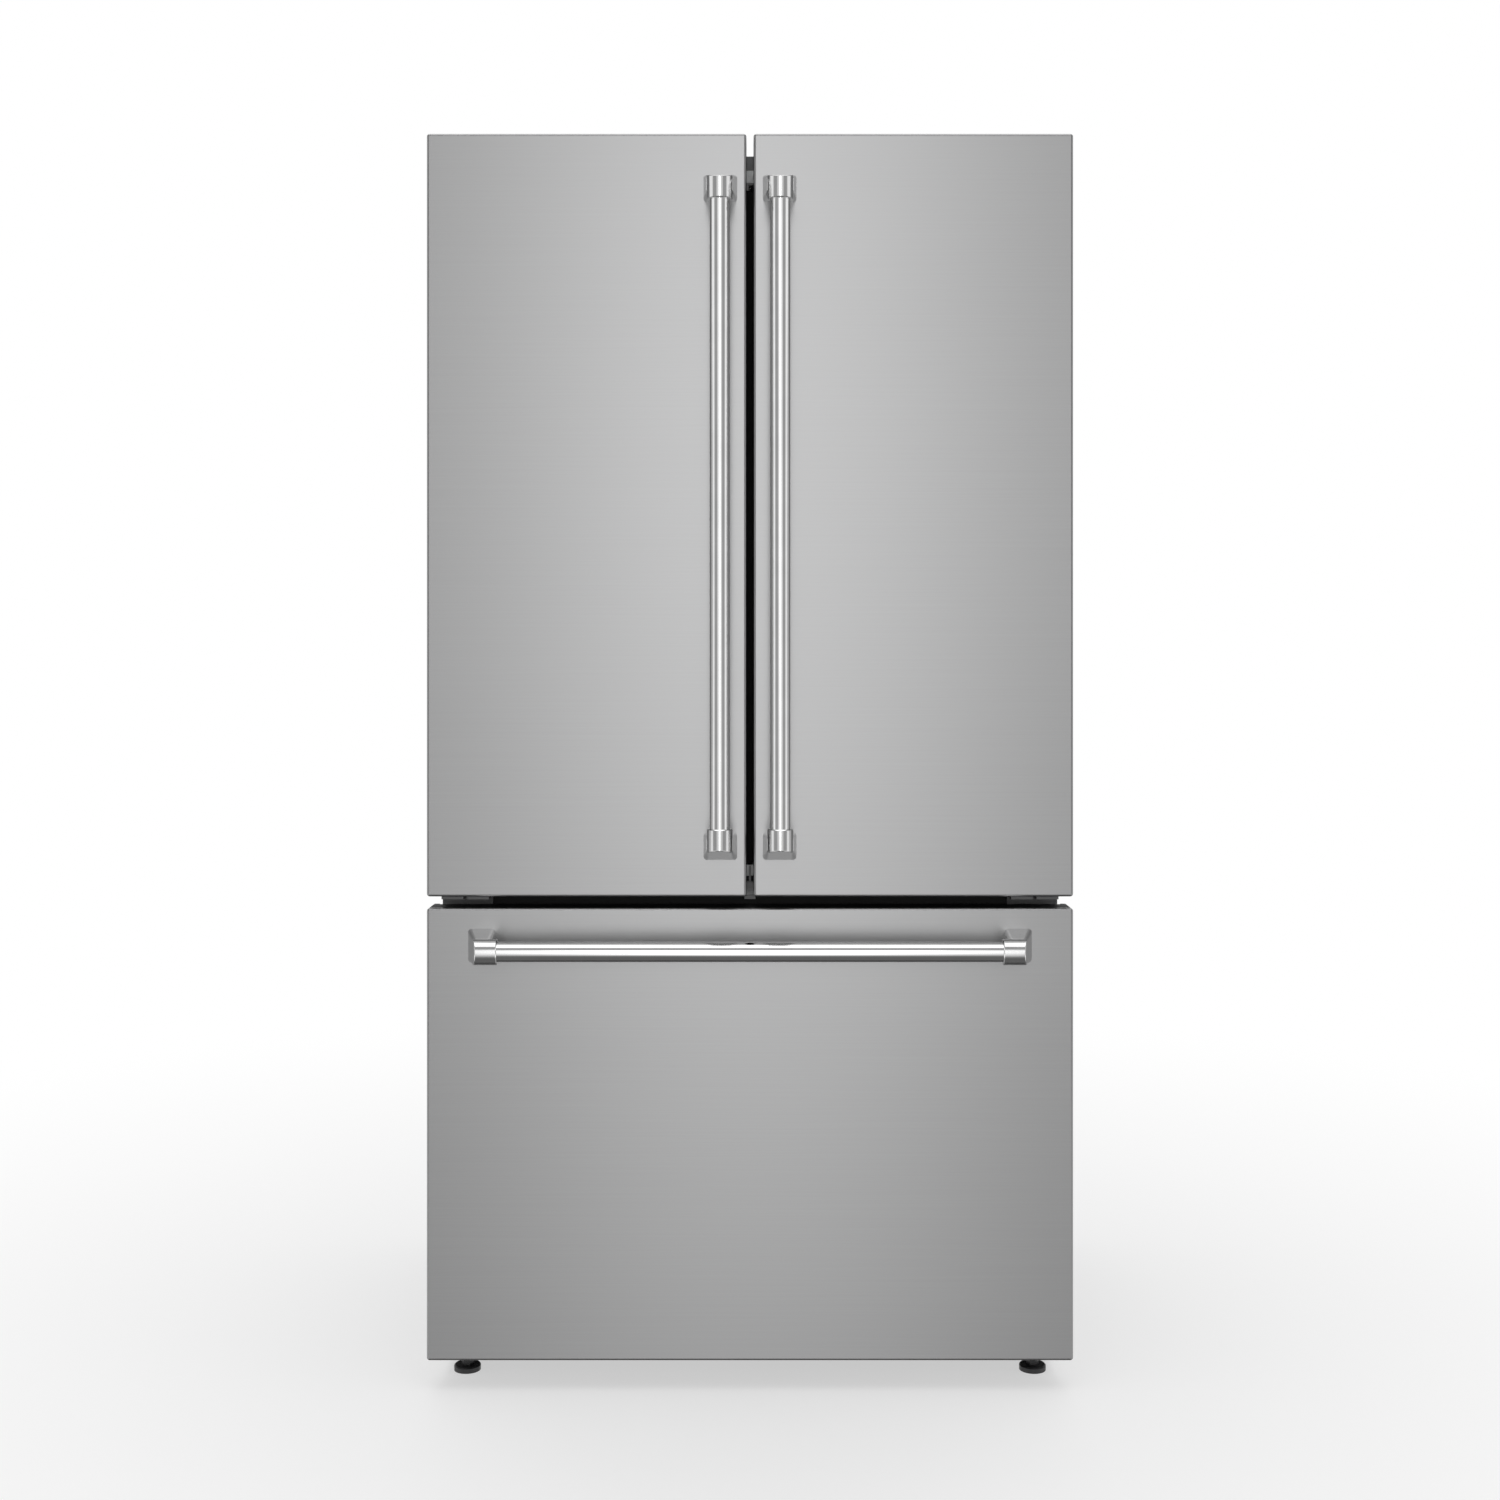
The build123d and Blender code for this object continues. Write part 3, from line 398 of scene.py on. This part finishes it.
def insideScrews():
    low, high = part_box("air_duct")
    duct = [(x, low.y, z)
            for x in (low.x + 0.014, high.x - 0.014) for z in (low.z + 0.03, high.z - 0.03)]
    low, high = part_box("evaporator_cover")
    cover = [(x, low.y + 0.008, z)
             for x in (low.x + 0.05, high.x - 0.05) for z in (low.z + 0.05, high.z - 0.04)]
    makeScrews("insideScrews", duct + cover, (0, -1, 0), screw["head"], "shelf_trim", "cabinet")
    low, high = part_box("base_grille")
    grille = [(side * x, low.y, (low.z + high.z) / 2)
              for side in (-1, 1) for x in (0.03 + high.x / 2, high.x - 0.014)]
    makeScrews("grilleScrews", grille, (0, -1, 0), screw["head"], "black_plastic", "cabinet")


panelScrews()
insideScrews()
print("screws set")

# heights are above the floor
tubing = {
    "radius": 0.0032, "bend": 0.02, "bendSteps": 6,
    "dischargeStart": 0.225, "dischargeTop": 0.272, "coilHeight": 0.22,
    "suctionThicker": 1.2, "suctionStart": 0.222, "suctionTop": 0.28, "suctionEnd": 0.20, "suctionY": 0.17,
}


def makeTube(name, points, radius, slot, body):
    # a bent copper-size pipe through the given points, its corners rounded
    data = bpy.data.curves.new(name, "CURVE")
    data.dimensions = "3D"
    data.bevel_depth = radius
    data.bevel_resolution = 4
    data.use_fill_caps = True
    points = [Vector(p) for p in points]
    path = [points[0]]
    for before, corner, after in zip(points, points[1:], points[2:]):
        start = corner + (before - corner).normalized() * tubing["bend"]
        end = corner + (after - corner).normalized() * tubing["bend"]
        for k in range(tubing["bendSteps"] + 1):
            t = k / tubing["bendSteps"]
            path.append(start * (1 - t) ** 2 + corner * 2 * t * (1 - t) + end * t * t)
    path.append(points[-1])
    spline = data.splines.new("POLY")
    spline.points.add(len(path) - 1)
    for point, place in zip(spline.points, path):
        point.co = (*place, 1)
    holder = bpy.data.objects.new(name, data)
    bpy.context.scene.collection.objects.link(holder)
    mesh = bpy.data.meshes.new_from_object(holder)
    bpy.data.objects.remove(holder)
    bm = bmesh.new()
    bm.from_mesh(mesh)
    bpy.data.meshes.remove(mesh)
    addPiece(name, bm, slot, body)


def machineTubes():
    low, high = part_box("compressor")
    x, y = high.x - 0.1, (low.y + high.y) / 2
    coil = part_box("condenser")[0]
    start, top, end = tubing["dischargeStart"], tubing["dischargeTop"], tubing["coilHeight"]
    discharge = ((x - 0.03, y, start), (x - 0.03, y, top), (coil.x - 0.02, y, top),
                 (coil.x - 0.02, y, end), (coil.x + 0.01, y, end))
    makeTube("dischargePipe", discharge, tubing["radius"], "handle_bracket", "cabinet")
    start, top, end, row = tubing["suctionStart"], tubing["suctionTop"], tubing["suctionEnd"], tubing["suctionY"]
    suction = ((x + 0.02, y + 0.03, start), (x + 0.02, y + 0.03, top), (x + 0.02, row, top),
               (x - 0.24, row, top), (x - 0.24, row, end))
    makeTube("suctionPipe", suction, tubing["radius"] * tubing["suctionThicker"], "handle_bracket", "cabinet")


machineTubes()
print("pipes run in the machine space")

# white surroundings, with a box of light in front, one each side, one above and a weak one behind
# an edge is where that light starts and ends, as a share of the full direction
studio = {
    "floorRadius": 14.0, "floorColor": (0.88, 0.88, 0.88), "floorGlow": 0.55, "glowEdge": (0.5, 2.6),
    "backdrop": 1.0, "fill": 0.35, "fillBelow": 0.13, "fillEdge": (-0.8, -0.3), "aheadEdge": (-0.3, 0.0),
    "frontCore": 1.85, "coreEdge": (0, 0.19), "frontBox": 0.46, "boxEdge": (0.36, 0.52),
    "frontFoot": (-0.64, 0.02), "frontHead": (0.36, 0.58),
    "sideBox": 0.62, "sideEdge": (0.82, 0.93), "sideMiddle": 0.25, "sideMiddleEdge": (0.972, 0.998),
    "lowBox": 0.75, "lowEdge": (0.30, 0.50), "lowHead": (-0.38, -0.20),
    "topBox": 1.40, "topEdge": (0.78, 0.90), "rearBox": 0.60, "rearEdge": (0.3, 0.9),
}


def makeFloor(look):
    bm = bmesh.new()
    bmesh.ops.create_circle(bm, cap_ends=True, segments=96, radius=look["floorRadius"])
    mesh = bpy.data.meshes.new("studioFloor")
    bm.to_mesh(mesh)
    bm.free()
    floor = bpy.data.objects.new("studioFloor", mesh)
    bpy.context.scene.collection.objects.link(floor)
    mat, tree, shader = newMaterial("studioFloorPaint", look["floorColor"], 0.8)
    tint(tree, shader, spread(tree, noise(tree, (2, 2, 2)), 0, 1), *shades(look["floorColor"], 0.005))
    # the floor's own light grows until it meets the white backdrop
    glow = tree.nodes.new("ShaderNodeEmission")
    glow.inputs["Strength"].default_value = look["backdrop"]
    place = tree.nodes.new("ShaderNodeTexCoord")
    reach = tree.nodes.new("ShaderNodeVectorMath")
    reach.operation = "LENGTH"
    tree.links.new(place.outputs["Object"], reach.inputs[0])
    fade = spread(tree, reach.outputs["Value"], look["floorGlow"], 1.0, *look["glowEdge"], "SMOOTHSTEP")
    mixer = tree.nodes.new("ShaderNodeMixShader")
    tree.links.new(fade, mixer.inputs[0])
    tree.links.new(shader.outputs[0], mixer.inputs[1])
    tree.links.new(glow.outputs[0], mixer.inputs[2])
    tree.links.new(mixer.outputs[0], tree.nodes["Material Output"].inputs["Surface"])
    mesh.materials.append(mat)
    floor.visible_glossy = False


def makeStudioLight(look):
    world = bpy.data.worlds.new("studioLight")
    bpy.context.scene.world = world
    world.use_nodes = True
    tree = world.node_tree
    tree.nodes.clear()
    place = tree.nodes.new("ShaderNodeTexCoord")
    parts = tree.nodes.new("ShaderNodeSeparateXYZ")
    tree.links.new(place.outputs["Generated"], parts.inputs[0])
    x, y, z = parts.outputs

    def combine(operation, *values):
        node = tree.nodes.new("ShaderNodeMath")
        node.operation = operation
        for socket, value in zip(node.inputs, values):
            if isinstance(value, (int, float)):
                socket.default_value = value
            else:
                tree.links.new(value, socket)
        return node.outputs[0]

    def soft(value, lowValue, highValue, edge):
        return spread(tree, value, lowValue, highValue, *edge, "SMOOTHSTEP")

    across = combine("ABSOLUTE", x)
    ahead = spread(tree, y, 1, 0, *look["aheadEdge"])
    core = soft(across, look["frontCore"], 0, look["coreEdge"])
    box = soft(across, look["frontBox"], 0, look["boxEdge"])
    rise = combine("MULTIPLY", spread(tree, z, 0, 1, *look["frontFoot"]), soft(z, 1, 0, look["frontHead"]))
    front = combine("MULTIPLY", combine("ADD", core, box), combine("MULTIPLY", rise, ahead))
    side = combine("MULTIPLY", soft(across, 0, look["sideBox"], look["sideEdge"]),
                   soft(across, 1, look["sideMiddle"], look["sideMiddleEdge"]))
    fill = spread(tree, z, look["fillBelow"], look["fill"], *look["fillEdge"])
    lowSide = combine("MULTIPLY", soft(across, 0, look["lowBox"], look["lowEdge"]),
                      combine("MULTIPLY", soft(z, 1, 0, look["lowHead"]), ahead))
    top = soft(z, 0, look["topBox"], look["topEdge"])
    rear = soft(y, 0, look["rearBox"], look["rearEdge"])
    ring = combine("ADD", combine("ADD", top, rear), combine("ADD", fill, lowSide))
    total = combine("ADD", combine("ADD", front, side), ring)
    ambient = tree.nodes.new("ShaderNodeBackground")
    ambient.inputs["Color"].default_value = (1, 1, 1, 1)
    tree.links.new(total, ambient.inputs["Strength"])
    backdrop = tree.nodes.new("ShaderNodeBackground")
    backdrop.inputs["Color"].default_value = (1, 1, 1, 1)
    backdrop.inputs["Strength"].default_value = look["backdrop"]
    path = tree.nodes.new("ShaderNodeLightPath")
    mixer = tree.nodes.new("ShaderNodeMixShader")
    out = tree.nodes.new("ShaderNodeOutputWorld")
    tree.links.new(path.outputs["Is Camera Ray"], mixer.inputs[0])
    tree.links.new(ambient.outputs[0], mixer.inputs[1])
    tree.links.new(backdrop.outputs[0], mixer.inputs[2])
    tree.links.new(mixer.outputs[0], out.inputs["Surface"])


makeFloor(studio)
makeStudioLight(studio)
print("studio ready")

view = {"distance": 2.60, "height": 1.031, "lens": 44.46, "shift": -0.062, "sensor": 36, "farClip": 60}


def makeCamera(look):
    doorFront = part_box("left_door_skin")[0].y
    data = bpy.data.cameras.new("camera")
    data.lens = look["lens"]
    data.sensor_width = look["sensor"]
    data.shift_y = look["shift"]
    data.clip_end = look["farClip"]
    camera = bpy.data.objects.new("camera", data)
    bpy.context.scene.collection.objects.link(camera)
    camera.location = (0, doorFront - look["distance"], look["height"])
    camera.rotation_euler = (math.radians(90), 0, 0)
    bpy.context.scene.camera = camera


makeCamera(view)
print("camera placed")
bpy.context.scene.view_settings.view_transform = "Standard"
bpy.context.scene.view_settings.look = "None"
